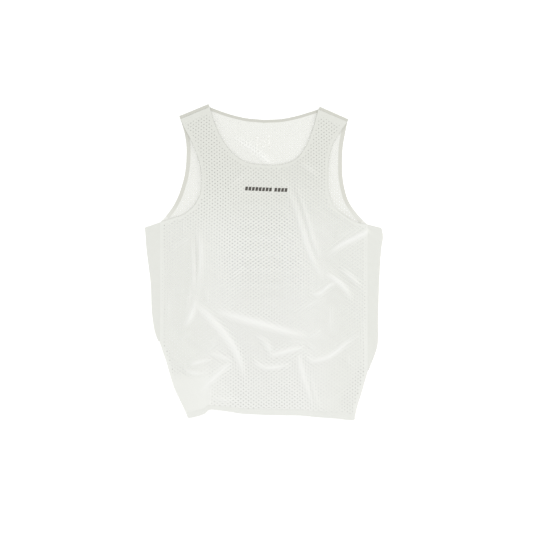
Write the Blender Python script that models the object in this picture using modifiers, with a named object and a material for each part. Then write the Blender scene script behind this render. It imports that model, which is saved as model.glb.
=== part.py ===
"""A running singlet laid flat, front up, with its neck towards +Y.

Run it with blender --background --python part.py, or from Blender's text editor.
Its tables and sizes are in millimetres, and MM turns them into metres. +Z is up.
The origin is on the surface that the singlet lies on, under the middle of its outline.
"""

import math

import bpy
import bmesh
import numpy as np

MM = 0.001

# Driving dimensions
CLOTH = 1.0  # wall of each piece of cloth
GAP = 0.4  # between neighbours at a seam
LAYER = 0.3  # between one layer and the next
SEAM_X = 219.0  # the side seams, left and right of the middle
BACK_TOP = CLOTH  # the back panel lies on the surface
TAPE_TOP = BACK_TOP + LAYER + CLOTH  # the tapes lie on the back panel
FRONT_TOP = TAPE_TOP + LAYER + CLOTH + 0.2  # the front panel lies over the tapes
ARMHOLE_TAPE = 8.0  # widths
NECK_TAPE = 6.0
HEM_FADE = 110.0  # how far up the panels the hem's curve is felt
TUCK = 2.0  # thickness of a corner folded under
TUCK_LIFT = TUCK + LAYER  # how far the panels rise over it
TUCK_EDGE = 1.2  # how far its rounded fold stands outside the panels
TUCK_RAMP = (16.0, 46.0)  # the panels fall back to the surface between these distances
FRONT_COLUMNS = 18  # of cloth across each half of a panel
BACK_COLUMNS = 8


def table(columns, *rows):
    """Rows of numbers as one array for each named column."""
    return dict(zip(columns.split(), np.array(rows, float).T))


# Levels up the body of the front panel: the height on the middle line, the panel's left and
# right edges at that level, and the rows of cloth up to the next level. A sharp level turns.
FRONT_BODY = table(
    "middle left_x left_y right_x right_y rows sharp",
    (-323, -159.5, -329.5, 190.5, -333.5, 1, 1),
    (-310, -164, -317, 192, -320, 3, 0),
    (-254, -187, -269, 204, -280, 4, 0),
    (-190, -205.2, -210, SEAM_X, -230, 4, 1),
    (-133, -SEAM_X, -170, SEAM_X, -176, 5, 1),
    (-60, -SEAM_X, -90, SEAM_X, -96, 5, 0),
    (10, -SEAM_X, -10, SEAM_X, -10, 5, 0),
    (75, -SEAM_X, 83, SEAM_X, 78.5, 2, 1),
    (100, -193, 91.5, 197, 82.5, 2, 0),
    (125, -168, 100.5, 171.5, 96.5, 2, 0),
    (150, -147.5, 117.5, 150, 114.5, 2, 0),
    (178, -133.5, 145, 136.5, 147, 2, 0),
    (203.5, -130.5, 181, 134.5, 185, 0, 1),
)
# The straps of the front panel, upwards: the neckline's edge and the armhole's edge.
FRONT_LEFT_STRAP = table(
    "neck_x neck_y arm_x arm_y rows sharp",
    (0, 203.5, -130.5, 181, 2, 1),
    (-35, 209, -134.5, 206, 2, 0),
    (-67, 229.5, -142, 230, 2, 0),
    (-91, 262.5, -156, 261, 2, 0),
    (-106, 296, -168.5, 284, 2, 0),
    (-114.5, 326.5, -176, 301, 0, 0),
)
FRONT_RIGHT_STRAP = table(
    "neck_x neck_y arm_x arm_y rows sharp",
    (0, 203.5, 134.5, 185, 3, 1),
    (38, 205, 135, 200, 2, 0),
    (67, 215.5, 138, 223, 2, 0),
    (89, 243, 145.5, 250, 2, 0),
    (103.5, 279, 161, 274, 2, 0),
    (115, 321.5, 175.6, 295, 0, 0),
)
BACK_BODY = table(
    "middle left_x left_y right_x right_y rows sharp",
    (-323, -159.5, -328.5, 190.5, -332.5, 4, 1),
    (-254, -187, -269, 204, -280, 3, 0),
    (-190, -205.2, -210, SEAM_X, -230, 3, 1),
    (-133, -SEAM_X, -170, SEAM_X, -176, 3, 1),
    (-60, -SEAM_X, -90, SEAM_X, -96, 3, 0),
    (10, -SEAM_X, -10, SEAM_X, -10, 2, 0),
    (75, -SEAM_X, 82.5, SEAM_X, 78, 1, 1),
    (110, -206.5, 96.5, 209, 87.5, 1, 0),
    (145, -194, 113, 192.5, 106, 1, 0),
    (180, -181.5, 136, 178.5, 127.5, 1, 0),
    (215, -173, 160, 170, 154, 1, 0),
    (256, -166.5, 186, 165.5, 183, 1, 0),
    (299.3, -163.5, 212, 165, 212, 0, 1),
)
BACK_LEFT_STRAP = table(
    "neck_x neck_y arm_x arm_y rows sharp",
    (0, 299.3, -163.5, 212, 3, 1),
    (-40, 303.3, -163.3, 243, 3, 0),
    (-75, 312, -167.3, 271, 2, 0),
    (-100, 320.7, -171, 285, 2, 0),
    (-115, 326.5, -176, 300.5, 0, 0),
)
BACK_RIGHT_STRAP = table(
    "neck_x neck_y arm_x arm_y rows sharp",
    (0, 299.3, 165, 212, 3, 1),
    (40, 301.5, 166.5, 243, 3, 0),
    (75, 309, 171, 269, 2, 0),
    (100, 316.6, 174, 284, 2, 0),
    (114.5, 321, 175.6, 294.5, 0, 0),
)
# The hem's line across both panels, with the step of its pleat on the left.
HEM = table(
    "x y",
    (-165, -330.5),
    (-150, -328.4),
    (-138, -325.4),
    (-124, -320.6),
    (-117, -312.4),
    (-108, -311.2),
    (-82, -315),
    (-44, -320.9),
    (4, -323.3),
    (76, -324.3),
    (113, -328.2),
    (148, -330),
    (176, -333.6),
    (195, -334),
)
# The side strips upwards: their seam's height and the fold that is the garment's side.
STRIP_LEFT = table(
    "seam_y fold_x fold_y rows",
    (-165, -224, -165, 1),
    (-152, -229, -152, 2),
    (-120, -234.8, -120, 3),
    (-44, -239.2, -44, 3),
    (27, -247.8, 27, 2),
    (83, -251.2, 72, 0),
)
STRIP_RIGHT = table(
    "seam_y fold_x fold_y rows",
    (-226, 223.4, -223.5, 1),
    (-212, 228, -212, 2),
    (-184, 238.2, -184, 3),
    (-116, 241.2, -116, 3),
    (-44, 243.5, -44, 3),
    (27, 248, 27, 2),
    (62, 251.4, 56, 1),
    (78.5, 248.5, 71, 0),
)
# The shoulders from right to left: the top edge and the seam below it.
SHOULDER_LEFT = table("fold_x fold_y seam_x seam_y", (-117, 332.5, -114.5, 326.8), (-178.5, 307, -176, 301.3))
SHOULDER_RIGHT = table("fold_x fold_y seam_x seam_y", (178.5, 300.5, 176, 295), (118, 327.2, 115.4, 321.7))
# The corners folded under, round to the left. Fold is 1 at the corners on the garment's edge.
TUCK_LEFT = table("x y fold", (-219, -168, 1), (-187, -267, 1), (-159.5, -328, 1), (-110, -290, 0))
TUCK_RIGHT = table("x y fold", (189, -330, 1), (215, -240, 1), (203, -215, 0), (156, -303, 0))
# The front panel's largest folds: the ends of its ridge, how far its middle bows to the left
# of that line, its half width and its height.
FOLDS = table(
    "x0 y0 x1 y1 bow width height",
    (22, 196, 134, -53, 2, 12, 3.0),
    (216, 63, 126, 6, -5, 11, 5.6),
    (126, -25, 186, -88, 10, 11, 4.4),
    (-142, 73, -142, -60, 10, 11, 3.0),
    (-150, -85, -39, -262, 21, 12, 5.2),
    (-108, -102, 102, -162, -2, 13, 5.0),
    (8, -200, 88, -179, 0, 11, 4.2),
    (98, -211, 212, -152, -6, 12, 5.2),
    (72, -196, 106, -305, -2, 11, 3.4),
    (-155, -218, -64, -208, 6, 11, 4.0),
)


# Lines and heights


def headings(points, sharp):
    """The direction, as a step for each unit of length, that a smooth path leaves and reaches
    each point with. It's the weighted mean of the steps on both sides, and at a sharp point
    or an end it's the step on that side alone."""
    steps = np.diff(points, axis=0)
    lengths = np.linalg.norm(steps, axis=1, keepdims=True)
    units = steps / lengths
    mean = (units[:-1] * lengths[1:] + units[1:] * lengths[:-1]) / (lengths[:-1] + lengths[1:])
    leave = np.vstack([units[:1], np.where(sharp[1:-1, None] > 0, units[1:], mean)])
    reach = np.vstack([np.where(sharp[1:-1, None] > 0, units[:-1], mean), units[-1:]])
    return leave * lengths, reach * lengths


def smooth_path(points, rows, sharp):
    """A smooth path through points, as many steps to each stretch as its rows. Each stretch is
    the cubic that has the right ends and headings."""
    leave, reach = headings(points, sharp)
    path = [points[:1]]
    for start, end, out, into, count in zip(points, points[1:], leave, reach, rows.astype(int)):
        t = (np.arange(1, count + 1) / count)[:, None]
        cubic = (2 * t**3 - 3 * t**2 + 1) * start + (t**3 - 2 * t**2 + t) * out
        path.append(cubic + (3 * t**2 - 2 * t**3) * end + (t**3 - t**2) * into)
    return np.vstack(path)


def smooth_step(value):
    """0 up to 0, 1 from 1, and a smooth rise between."""
    value = np.clip(value, 0, 1)
    return value * value * (3 - 2 * value)


def hem_line(x):
    """How far down the hem reaches at x."""
    return np.interp(x, HEM["x"], HEM["y"])


def outside(corners, x, y):
    """How far a point is outside an outline whose corners go round to the left: the farthest
    that it is to the right of any side. It's negative inside."""
    spans = []
    starts = list(zip(corners["x"], corners["y"]))
    for (x0, y0), (x1, y1) in zip(starts, starts[1:] + starts[:1]):
        length = math.hypot(x1 - x0, y1 - y0)
        spans.append(((y1 - y0) * (x - x0) - (x1 - x0) * (y - y0)) / length)
    return np.max(spans, axis=0)


def tuck_lift(x, y):
    """How far the panels rise over the two corners folded under them."""
    near, far = TUCK_RAMP
    lift = 0
    for corners in (TUCK_LEFT, TUCK_RIGHT):
        lift = np.maximum(lift, 1 - smooth_step((outside(corners, x, y) - near) / (far - near)))
    return lift * TUCK_LIFT


def ridge(x, y, x0, y0, x1, y1, bow, width, height):
    """A fold's height at x, y: a bell across its bowed line, swelling from nothing at one end
    to nothing at the other."""
    length = math.hypot(x1 - x0, y1 - y0)
    along = ((x - x0) * (x1 - x0) + (y - y0) * (y1 - y0)) / length**2
    across = ((y - y0) * (x1 - x0) - (x - x0) * (y1 - y0)) / length
    inside = np.clip(along, 0, 1)
    swell = np.sin(math.pi * inside) ** 0.7
    return height * swell * np.exp(-(((across - bow * 4 * inside * (1 - inside)) / width) ** 2))


def back_top(x, y):
    """The back panel's upper side."""
    return BACK_TOP + tuck_lift(x, y)


def front_top(x, y):
    """The front panel's upper side: its layer, and the highest of the folds there."""
    highest = 0
    for fold in zip(*FOLDS.values()):
        highest = np.maximum(highest, ridge(x, y, *fold))
    return FRONT_TOP + tuck_lift(x, y) + highest


# Surfaces


def columns(rows, *names):
    """Some of a table's columns, side by side."""
    return np.column_stack([rows[name] for name in names])


def across(left, right, count):
    """Rows of points from one edge to the other."""
    t = np.linspace(0, 1, count + 1)[None, :, None]
    return left[:, None] * (1 - t) + right[:, None] * t


def body(levels, count):
    """The left and the right half of a panel's body, as rows of points from left to right."""
    middle = np.column_stack([0 * levels["middle"], levels["middle"]])
    rows, sharp = levels["rows"][:-1], levels["sharp"]
    line = smooth_path(middle, rows, sharp)
    left = smooth_path(columns(levels, "left_x", "left_y"), rows, sharp)
    right = smooth_path(columns(levels, "right_x", "right_y"), rows, sharp)
    return across(left, line, count), across(line, right, count)


def strap(levels, count):
    """A strap, as rows of points from left to right."""
    rows, sharp = levels["rows"][:-1], levels["sharp"]
    neck = smooth_path(columns(levels, "neck_x", "neck_y"), rows, sharp)
    arm = smooth_path(columns(levels, "arm_x", "arm_y"), rows, sharp)
    return across(arm, neck, count) if arm[0, 0] < 0 else across(neck, arm, count)


def follow_hem(grid):
    """Bends a body's lower rows to the hem's line, less and less upwards."""
    bend = hem_line(grid[:1, :, 0]) - grid[:1, :, 1]
    up = (grid[..., 1] - grid[:1, :, 1]) / HEM_FADE
    grid[..., 1] += bend * np.clip(1 - up, 0, 1) ** 2
    return grid


def raised(grid, top):
    """A flat grid of points lifted to the height that top gives."""
    return np.dstack([grid, top(grid[..., 0], grid[..., 1])])


def beside(edge, width):
    """A strip along an edge, from its left side, width away, to the edge itself."""
    along = np.gradient(edge, axis=0)
    along /= np.linalg.norm(along, axis=1, keepdims=True)
    left = np.column_stack([-along[:, 1], along[:, 0]])
    return across(edge + left * width, edge, 1)


def folded_over(fold, seam, top):
    """Cloth folded over an edge: in from the seam on top, round the fold and back under to the
    seam. The bend is half an oval as high as the top side."""
    inward = seam - fold
    reach = np.linalg.norm(inward, axis=1, keepdims=True)
    inward /= reach
    height = top(seam[:, 0], seam[:, 1])[:, None]
    deep = np.minimum(height / 2, reach * 0.7)
    turn = np.linspace(0, math.pi, 7)[None]
    depth = np.hstack([reach, deep * (1 - np.sin(turn)), reach])
    rise = np.hstack([height, height / 2 * (1 + np.cos(turn)), 0 * reach])
    return np.dstack([fold[:, None] + inward[:, None] * depth[..., None], rise])


# Objects


def material(name, colour, roughness):
    """A cloth's plain material."""
    made = bpy.data.materials.new(name)
    made.use_nodes = True
    shader = made.node_tree.nodes["Principled BSDF"]
    shader.inputs["Base Color"].default_value = (*colour, 1)
    shader.inputs["Roughness"].default_value = roughness
    shader.inputs["Metallic"].default_value = 0
    return made


def cloth(name, collection, finish, *grids):
    """One piece of cloth: its upper side as grids that share edges, then a wall below it."""
    mesh = bpy.data.meshes.new(name)
    shape = bmesh.new()
    for grid in grids:
        corners = [[shape.verts.new(point * MM) for point in row] for row in grid]
        for lower, upper in zip(corners, corners[1:]):
            for i in range(len(lower) - 1):
                shape.faces.new((lower[i], lower[i + 1], upper[i + 1], upper[i]))
    bmesh.ops.remove_doubles(shape, verts=shape.verts, dist=1e-6)
    shape.to_mesh(mesh)
    shape.free()
    mesh.shade_smooth()
    mesh.materials.append(finish)
    piece = bpy.data.objects.new(name, mesh)
    collection.objects.link(piece)
    wall = piece.modifiers.new("wall", "SOLIDIFY")
    wall.thickness = CLOTH * MM
    wall.offset = -1
    return piece


def make_panels(collection, finish, band_finish):
    """The back panel, the front panel, and the hem band cut from the front's lowest row."""
    grids = [follow_hem(half) for half in body(BACK_BODY, BACK_COLUMNS)]
    grids += [strap(levels, BACK_COLUMNS) for levels in (BACK_LEFT_STRAP, BACK_RIGHT_STRAP)]
    cloth("back_panel", collection, finish, *(raised(grid, back_top) for grid in grids))
    halves = [follow_hem(half) for half in body(FRONT_BODY, FRONT_COLUMNS)]
    grids = [half[1:] for half in halves]
    grids += [strap(levels, FRONT_COLUMNS) for levels in (FRONT_LEFT_STRAP, FRONT_RIGHT_STRAP)]
    cloth("front_panel", collection, finish, *(raised(grid, front_top) for grid in grids))
    bands = []
    for half in halves:
        down = half[1] - half[0]
        down *= GAP / np.linalg.norm(down, axis=1, keepdims=True)
        bands.append(raised(np.stack([half[0], half[1] - down]), front_top))
    cloth("hem_band", collection, band_finish, *bands)


def make_side_strip(name, collection, finish, levels, side):
    """A side strip, folded round the garment's side."""
    seam = np.column_stack([0 * levels["seam_y"] + side * (SEAM_X + GAP), levels["seam_y"]])
    rows, sharp = levels["rows"][:-1], 0 * levels["rows"]
    fold = smooth_path(columns(levels, "fold_x", "fold_y"), rows, sharp)
    seam = smooth_path(seam, rows, sharp)
    section = folded_over(fold, seam, front_top)
    cloth(name, collection, finish, section if side > 0 else section[:, ::-1])


def make_shoulder_tape(name, collection, finish, ends):
    """A tape folded over the top of a shoulder."""
    fold = across(columns(ends, "fold_x", "fold_y")[:1], columns(ends, "fold_x", "fold_y")[1:], 4)[0]
    seam = across(columns(ends, "seam_x", "seam_y")[:1], columns(ends, "seam_x", "seam_y")[1:], 4)[0]
    cloth(name, collection, finish, folded_over(fold, seam, front_top))


def tape_top(x, y):
    """The upper side of a tape that lies on the back panel."""
    return back_top(x, y) + LAYER + CLOTH


def make_back_tapes(collection, finish):
    """The tapes inside the back panel's armholes and along its neck."""
    left, right = strap(BACK_LEFT_STRAP, 1), strap(BACK_RIGHT_STRAP, 1)
    lower_left, lower_right = body(BACK_BODY, 1)
    first = int(BACK_BODY["rows"][:7].sum())  # the first row above the underarm
    arm_left = np.vstack([lower_left[first:, 0], left[1:, 0]])
    arm_right = np.vstack([lower_right[first:, -1], right[1:, -1]])
    neck = np.vstack([right[::-1, 0], left[1:, -1]])
    edges = {
        "armhole_tape_left": (arm_left[::-1], ARMHOLE_TAPE),
        "armhole_tape_right": (arm_right, ARMHOLE_TAPE),
        "neck_tape": (neck, NECK_TAPE),
    }
    for name, (edge, width) in edges.items():
        cloth(name, collection, finish, raised(beside(edge, width), tape_top))


def make_tucked_corner(name, collection, finish, corners):
    """A corner folded under the back panel: its layers as one flat solid with rounded edges."""
    outline = columns(corners, "x", "y")
    fold = corners["fold"] > 0
    along = np.gradient(outline[fold], axis=0)
    along /= np.linalg.norm(along, axis=1, keepdims=True)
    outline[fold] += np.column_stack([along[:, 1], -along[:, 0]]) * TUCK_EDGE
    mesh = bpy.data.meshes.new(name)
    shape = bmesh.new()
    base = shape.faces.new([shape.verts.new((x * MM, y * MM, 0)) for x, y in outline])
    raised_face = bmesh.ops.extrude_face_region(shape, geom=[base])["geom"]
    top = [vert for vert in raised_face if isinstance(vert, bmesh.types.BMVert)]
    bmesh.ops.translate(shape, verts=top, vec=(0, 0, TUCK * MM))
    bmesh.ops.recalc_face_normals(shape, faces=shape.faces)
    shape.to_mesh(mesh)
    shape.free()
    mesh.materials.append(finish)
    piece = bpy.data.objects.new(name, mesh)
    collection.objects.link(piece)
    rounding = piece.modifiers.new("rounding", "BEVEL")
    rounding.width = TUCK * MM * 0.45
    rounding.segments = 3


def main():
    """Clears the scene and builds every piece."""
    for thing in list(bpy.data.objects):
        bpy.data.objects.remove(thing)
    garment = bpy.data.collections.new("running_singlet")
    bpy.context.scene.collection.children.link(garment)
    mesh_cloth = material("perforated_mesh", (0.80, 0.81, 0.77), 0.5)
    plain_cloth = material("plain_knit", (0.83, 0.84, 0.80), 0.5)
    tape = material("bonded_tape", (0.66, 0.66, 0.61), 0.6)
    make_panels(garment, mesh_cloth, plain_cloth)
    make_side_strip("side_strip_left", garment, plain_cloth, STRIP_LEFT, -1)
    make_side_strip("side_strip_right", garment, plain_cloth, STRIP_RIGHT, 1)
    make_shoulder_tape("shoulder_tape_left", garment, tape, SHOULDER_LEFT)
    make_shoulder_tape("shoulder_tape_right", garment, tape, SHOULDER_RIGHT)
    make_back_tapes(garment, tape)
    make_tucked_corner("tucked_corner_left", garment, mesh_cloth, TUCK_LEFT)
    make_tucked_corner("tucked_corner_right", garment, mesh_cloth, TUCK_RIGHT)


main()
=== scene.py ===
# %% [markdown]
# # A running singlet, laid flat
#
# A light racing top: a front and a back of perforated mesh, a plain knit strip down each side,
# tapes over the shoulder seams and inside the neck and armholes, and a narrow hem band. It
# lies front up, creased, with both lower corners tucked under.
#
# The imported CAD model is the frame. Its walls are plain and 1 mm thick. Each piece made here
# is a thinner, creased cloth that lies where one of those walls is, and takes its place.

# %% Load the frame
import math

import bpy
import numpy as np
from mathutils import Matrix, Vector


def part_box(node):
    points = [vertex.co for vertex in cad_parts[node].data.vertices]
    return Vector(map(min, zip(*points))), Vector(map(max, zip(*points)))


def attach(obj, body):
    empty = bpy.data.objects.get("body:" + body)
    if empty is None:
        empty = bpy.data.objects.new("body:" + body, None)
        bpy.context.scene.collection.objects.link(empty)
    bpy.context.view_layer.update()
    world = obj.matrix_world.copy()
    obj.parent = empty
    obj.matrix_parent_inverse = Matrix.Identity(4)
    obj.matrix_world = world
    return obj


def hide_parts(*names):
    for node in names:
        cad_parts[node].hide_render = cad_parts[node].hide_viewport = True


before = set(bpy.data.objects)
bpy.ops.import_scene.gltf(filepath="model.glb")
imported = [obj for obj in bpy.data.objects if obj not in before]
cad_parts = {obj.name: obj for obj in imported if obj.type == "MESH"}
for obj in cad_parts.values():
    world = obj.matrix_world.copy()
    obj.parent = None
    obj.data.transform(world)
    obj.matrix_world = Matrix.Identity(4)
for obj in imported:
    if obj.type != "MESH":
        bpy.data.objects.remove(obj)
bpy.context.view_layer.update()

MM = 0.001

# %% [markdown]
# ## Layers
#
# Four layers lie on each other: tucked corner, back panel, tapes, front panel. The heights
# come from the CAD nodes' boxes. The front keeps the air under it that its CAD wall has, and
# the real cloth is about half a millimetre thick, so all that is left over is air.

# %% The heights of the layers, in millimetres
CLOTH = 0.5
TAPE = 0.4
HEM_WALL = 0.9  # doubled cloth
INK = 0.1
AIR = 0.15  # between layers that touch
BACK_LEVEL = CLOTH
FRONT_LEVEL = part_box("front_panel")[0].z / MM + CLOTH
TUCK_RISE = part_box("tucked_corner_left")[1].z / MM + 0.3
print("front panel's upper side:", round(FRONT_LEVEL, 2), "mm, over a tucked corner:",
      round(FRONT_LEVEL + TUCK_RISE, 2), "mm")

# %% [markdown]
# ## Outlines
#
# A pattern cutter draws a panel with a few points and a curve ruler. So does this cell: each
# table row is one level up the panel, with the panel's edges at that level, and smooth_path
# is the curve ruler. A panel's body has two halves that meet on the middle line, and a strap
# stands on each half. The numbers are the CAD panels' own outlines.


# %% Tables and smooth paths
def table(columns, *rows):
    """Rows of numbers as one array for each named column."""
    return dict(zip(columns.split(), np.array(rows, float).T))


def columns(levels, *names):
    """Some of a table's columns, side by side."""
    return np.column_stack([levels[name] for name in names])


def smooth_path(points, steps, sharp):
    """A smooth path through points, with so many steps in each stretch.

    A stretch from a to b is the cubic (2t³-3t²+1)a + (t³-2t²+t)m + (3t²-2t³)b + (t³-t²)n. Its
    headings m and n are the mean of the directions on both sides of a point, weighted towards
    the shorter side. At a sharp point the path turns, so there the stretch keeps its own."""
    spans = np.diff(points, axis=0)
    lengths = np.linalg.norm(spans, axis=1, keepdims=True)
    units = spans / lengths
    mean = (units[:-1] * lengths[1:] + units[1:] * lengths[:-1]) / (lengths[:-1] + lengths[1:])
    turns = sharp[1:-1, None] > 0
    leave = np.vstack([units[:1], np.where(turns, units[1:], mean)]) * lengths
    reach = np.vstack([np.where(turns, units[:-1], mean), units[-1:]]) * lengths
    path = [points[:1]]
    for a, b, m, n, count in zip(points, points[1:], leave, reach, steps.astype(int)):
        t = (np.arange(1, count + 1) / count)[:, None]
        cubic = (2 * t**3 - 3 * t**2 + 1) * a + (t**3 - 2 * t**2 + t) * m
        path.append(cubic + (3 * t**2 - 2 * t**3) * b + (t**3 - t**2) * n)
    return np.vstack(path)


SEAM_X = 219.0  # the side seams
SEAM_GAP = 0.08  # from the panel's edge to a side strip's
FRONT_BODY = table(
    "middle left_x left_y right_x right_y rows sharp",
    (-323, -159.5, -329.5, 190.5, -333.5, 1, 1),
    (-310, -164, -317, 192, -320, 3, 0),
    (-254, -187, -269, 204, -280, 4, 0),
    (-190, -205.2, -210, SEAM_X, -230, 4, 1),
    (-133, -SEAM_X, -170, SEAM_X, -176, 5, 1),
    (-60, -SEAM_X, -90, SEAM_X, -96, 5, 0),
    (10, -SEAM_X, -10, SEAM_X, -10, 5, 0),
    (75, -SEAM_X, 83, SEAM_X, 78.5, 2, 1),
    (100, -193, 91.5, 197, 82.5, 2, 0),
    (125, -168, 100.5, 171.5, 96.5, 2, 0),
    (150, -147.5, 117.5, 150, 114.5, 2, 0),
    (178, -133.5, 145, 136.5, 147, 2, 0),
    (203.5, -130.5, 181, 134.5, 185, 0, 1),
)
FRONT_LEFT_STRAP = table(
    "neck_x neck_y arm_x arm_y rows sharp",
    (0, 203.5, -130.5, 181, 2, 1),
    (-35, 209, -134.5, 206, 2, 0),
    (-67, 229.5, -142, 230, 2, 0),
    (-91, 262.5, -156, 261, 2, 0),
    (-106, 296, -168.5, 284, 2, 0),
    (-114.5, 326.5, -176, 301, 0, 0),
)
FRONT_RIGHT_STRAP = table(
    "neck_x neck_y arm_x arm_y rows sharp",
    (0, 203.5, 134.5, 185, 3, 1),
    (38, 205, 135, 200, 2, 0),
    (67, 215.5, 138, 223, 2, 0),
    (89, 243, 145.5, 250, 2, 0),
    (103.5, 279, 161, 274, 2, 0),
    (115, 321.5, 175.6, 295, 0, 0),
)
BACK_BODY = table(
    "middle left_x left_y right_x right_y rows sharp",
    (-323, -159.5, -328.5, 190.5, -332.5, 4, 1),
    (-254, -187, -269, 204, -280, 3, 0),
    (-190, -205.2, -210, SEAM_X, -230, 3, 1),
    (-133, -SEAM_X, -170, SEAM_X, -176, 3, 1),
    (-60, -SEAM_X, -90, SEAM_X, -96, 3, 0),
    (10, -SEAM_X, -10, SEAM_X, -10, 2, 0),
    (75, -SEAM_X, 82.5, SEAM_X, 78, 1, 1),
    (110, -206.5, 96.5, 209, 87.5, 1, 0),
    (145, -194, 113, 192.5, 106, 1, 0),
    (180, -181.5, 136, 178.5, 127.5, 1, 0),
    (215, -173, 160, 170, 154, 1, 0),
    (256, -166.5, 186, 165.5, 183, 1, 0),
    (299.3, -163.5, 212, 165, 212, 0, 1),
)
BACK_LEFT_STRAP = table(
    "neck_x neck_y arm_x arm_y rows sharp",
    (0, 299.3, -163.5, 212, 3, 1),
    (-40, 303.3, -163.3, 243, 3, 0),
    (-75, 312, -167.3, 271, 2, 0),
    (-100, 320.7, -171, 285, 2, 0),
    (-115, 326.5, -176, 300.5, 0, 0),
)
BACK_RIGHT_STRAP = table(
    "neck_x neck_y arm_x arm_y rows sharp",
    (0, 299.3, 165, 212, 3, 1),
    (40, 301.5, 166.5, 243, 3, 0),
    (75, 309, 171, 269, 2, 0),
    (100, 316.6, 174, 284, 2, 0),
    (114.5, 321, 175.6, 294.5, 0, 0),
)
HEM = table(
    "x y",
    (-165, -330.5),
    (-150, -328.4),
    (-138, -325.4),
    (-124, -320.6),
    (-117, -312.4),
    (-108, -311.2),
    (-82, -315),
    (-44, -320.9),
    (4, -323.3),
    (76, -324.3),
    (113, -328.2),
    (148, -330),
    (176, -333.6),
    (195, -334),
)
print("front:", len(FRONT_BODY["rows"]), "levels, back:", len(BACK_BODY["rows"]), "levels")

# %% [markdown]
# ## Grids of cloth
#
# Between its two edges, each level of a panel is a straight row of points. The rows of CAD
# cloth are about 14 mm apart. Here each is divided in five, so a crease 12 mm wide has a
# few points across it. Three extra columns lie close to an outer edge, where cloth curls.

# %% Rows of points from edge to edge
FINE = 5
ACROSS = 76
LEFT_PLACES = np.append([0, 0.004, 0.010], np.linspace(0.02, 1, ACROSS))
RIGHT_PLACES = 1 - LEFT_PLACES[::-1]
HEM_FADE = 110.0


def between(left, right, places):
    """Points at the given shares of the way from one edge to the other: (1-t)·left + t·right."""
    t = places[None, :, None]
    return left[:, None] * (1 - t) + right[:, None] * t


def body(levels):
    """The two halves of a panel's body, each row from left to right."""
    steps, sharp = levels["rows"][:-1] * FINE, levels["sharp"]
    middle = smooth_path(np.column_stack([0 * sharp, levels["middle"]]), steps, sharp)
    left = smooth_path(columns(levels, "left_x", "left_y"), steps, sharp)
    right = smooth_path(columns(levels, "right_x", "right_y"), steps, sharp)
    return between(left, middle, LEFT_PLACES), between(middle, right, RIGHT_PLACES)


def strap(levels):
    """A strap, each row from left to right."""
    steps, sharp = levels["rows"][:-1] * FINE, levels["sharp"]
    neck = smooth_path(columns(levels, "neck_x", "neck_y"), steps, sharp)
    arm = smooth_path(columns(levels, "arm_x", "arm_y"), steps, sharp)
    if arm[0, 0] < 0:
        return between(arm, neck, LEFT_PLACES)
    return between(neck, arm, RIGHT_PLACES)


def follow_hem(grid):
    """Bends the lower rows to the hem's line. The shift is the whole difference at the hem, and
    falls off as (1 - height/fade)² above it."""
    bend = np.interp(grid[:1, :, 0], HEM["x"], HEM["y"]) - grid[:1, :, 1]
    up = (grid[..., 1] - grid[:1, :, 1]) / HEM_FADE
    grid[..., 1] += bend * np.clip(1 - up, 0, 1) ** 2
    return grid


front_halves = [follow_hem(half) for half in body(FRONT_BODY)]
front_straps = [strap(FRONT_LEFT_STRAP), strap(FRONT_RIGHT_STRAP)]
back_grids = [follow_hem(half) for half in body(BACK_BODY)]
back_grids += [strap(BACK_LEFT_STRAP), strap(BACK_RIGHT_STRAP)]
print("points in the front:", sum(grid.size // 2 for grid in front_halves + front_straps))

# %% [markdown]
# ## Creases
#
# Cloth that has been folded away keeps its creases: narrow ridges that start sharp, run in a
# shallow curve and die out, with the cloth between them almost flat. A cloth simulation
# wouldn't put them where this garment has them, so each one is a row of a table. Its ridge
# follows a bowed line from end to end, and the steep crest with hollow flanks is the curve
# 1/(1+q²)^1.5, where q is the distance from the line over the ridge's half width.

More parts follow.
